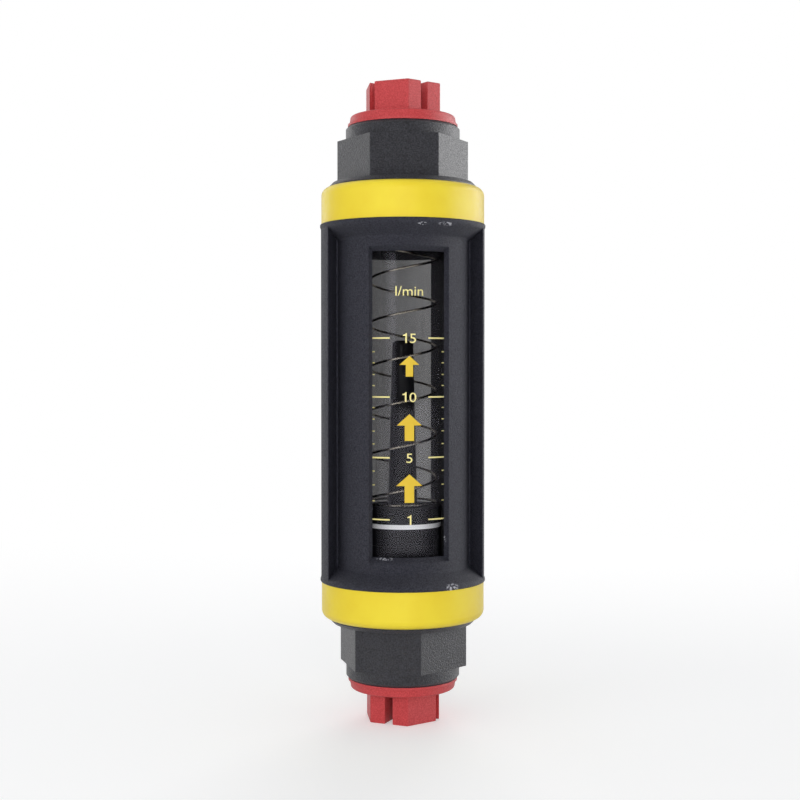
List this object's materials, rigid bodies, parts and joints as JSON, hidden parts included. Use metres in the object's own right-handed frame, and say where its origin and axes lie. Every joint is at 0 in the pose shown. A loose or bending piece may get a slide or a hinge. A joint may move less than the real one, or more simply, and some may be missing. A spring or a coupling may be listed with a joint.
{
  "type": "rotameter",
  "caption": "Spring-loaded variable-area flow indicator: windowed guard, clear tube with piston, cone and spring, hexagonal end fittings with plugs in the ports.",
  "frame": {"origin": "centre of the inlet plug's end face, on the flow axis", "axes": "+Z along the flow towards the outlet, -Y out of the front window"},
  "size_m": [0.048, 0.048, 0.1836],
  "materials": {
    "guard_plastic": "fine moulded grain",
    "collar_plastic": "satin yellow",
    "fitting_plastic": "glass-filled, coarse grain",
    "plug_plastic": "soft red",
    "clear_tube": "clear, smooth",
    "clear_sleeve": "clear, printed scale on the outside",
    "seal_rubber": "plain",
    "inner_plastic": "smooth black",
    "ring_plastic": "white",
    "steel": "turned",
    "spring_steel": "drawn wire"
  },
  "bodies": {
    "housing": {"guard": "guard_plastic", "inlet_collar": "collar_plastic", "outlet_collar": "collar_plastic", "inlet_fitting": "fitting_plastic", "outlet_fitting": "fitting_plastic", "metering_tube": "clear_tube", "scale_sleeve": "clear_sleeve", "inlet_tube_seal": "seal_rubber", "outlet_tube_seal": "seal_rubber", "spring_seat": "inner_plastic", "cone_carrier": "inner_plastic", "metering_cone": "inner_plastic", "cone_nut": "steel", "spring": "spring_steel"},
    "piston_group": {"piston": "inner_plastic", "indicator_ring": "ring_plastic", "orifice_plate": "steel", "plate_clip": "steel"},
    "inlet_plug": {"inlet_plug": "plug_plastic"},
    "outlet_plug": {"outlet_plug": "plug_plastic"}
  },
  "joints": [
    {"name": "piston_travel", "type": "slide", "parent": "housing", "child": "piston_group", "axis": [0, 0, 1], "range_m": [0, 0.056], "stiffness_N_per_m": 60, "springref_m": -0.012, "deforming": ["spring"]},
    {"name": "outlet_plug_travel", "type": "slide", "parent": "housing", "child": "outlet_plug", "axis": [0, 0, 1], "range_m": [0, 0.014]},
    {"name": "inlet_plug_travel", "type": "slide", "parent": "housing", "child": "inlet_plug", "axis": [0, 0, -1], "range_m": [0, 0.014]}
  ]
}
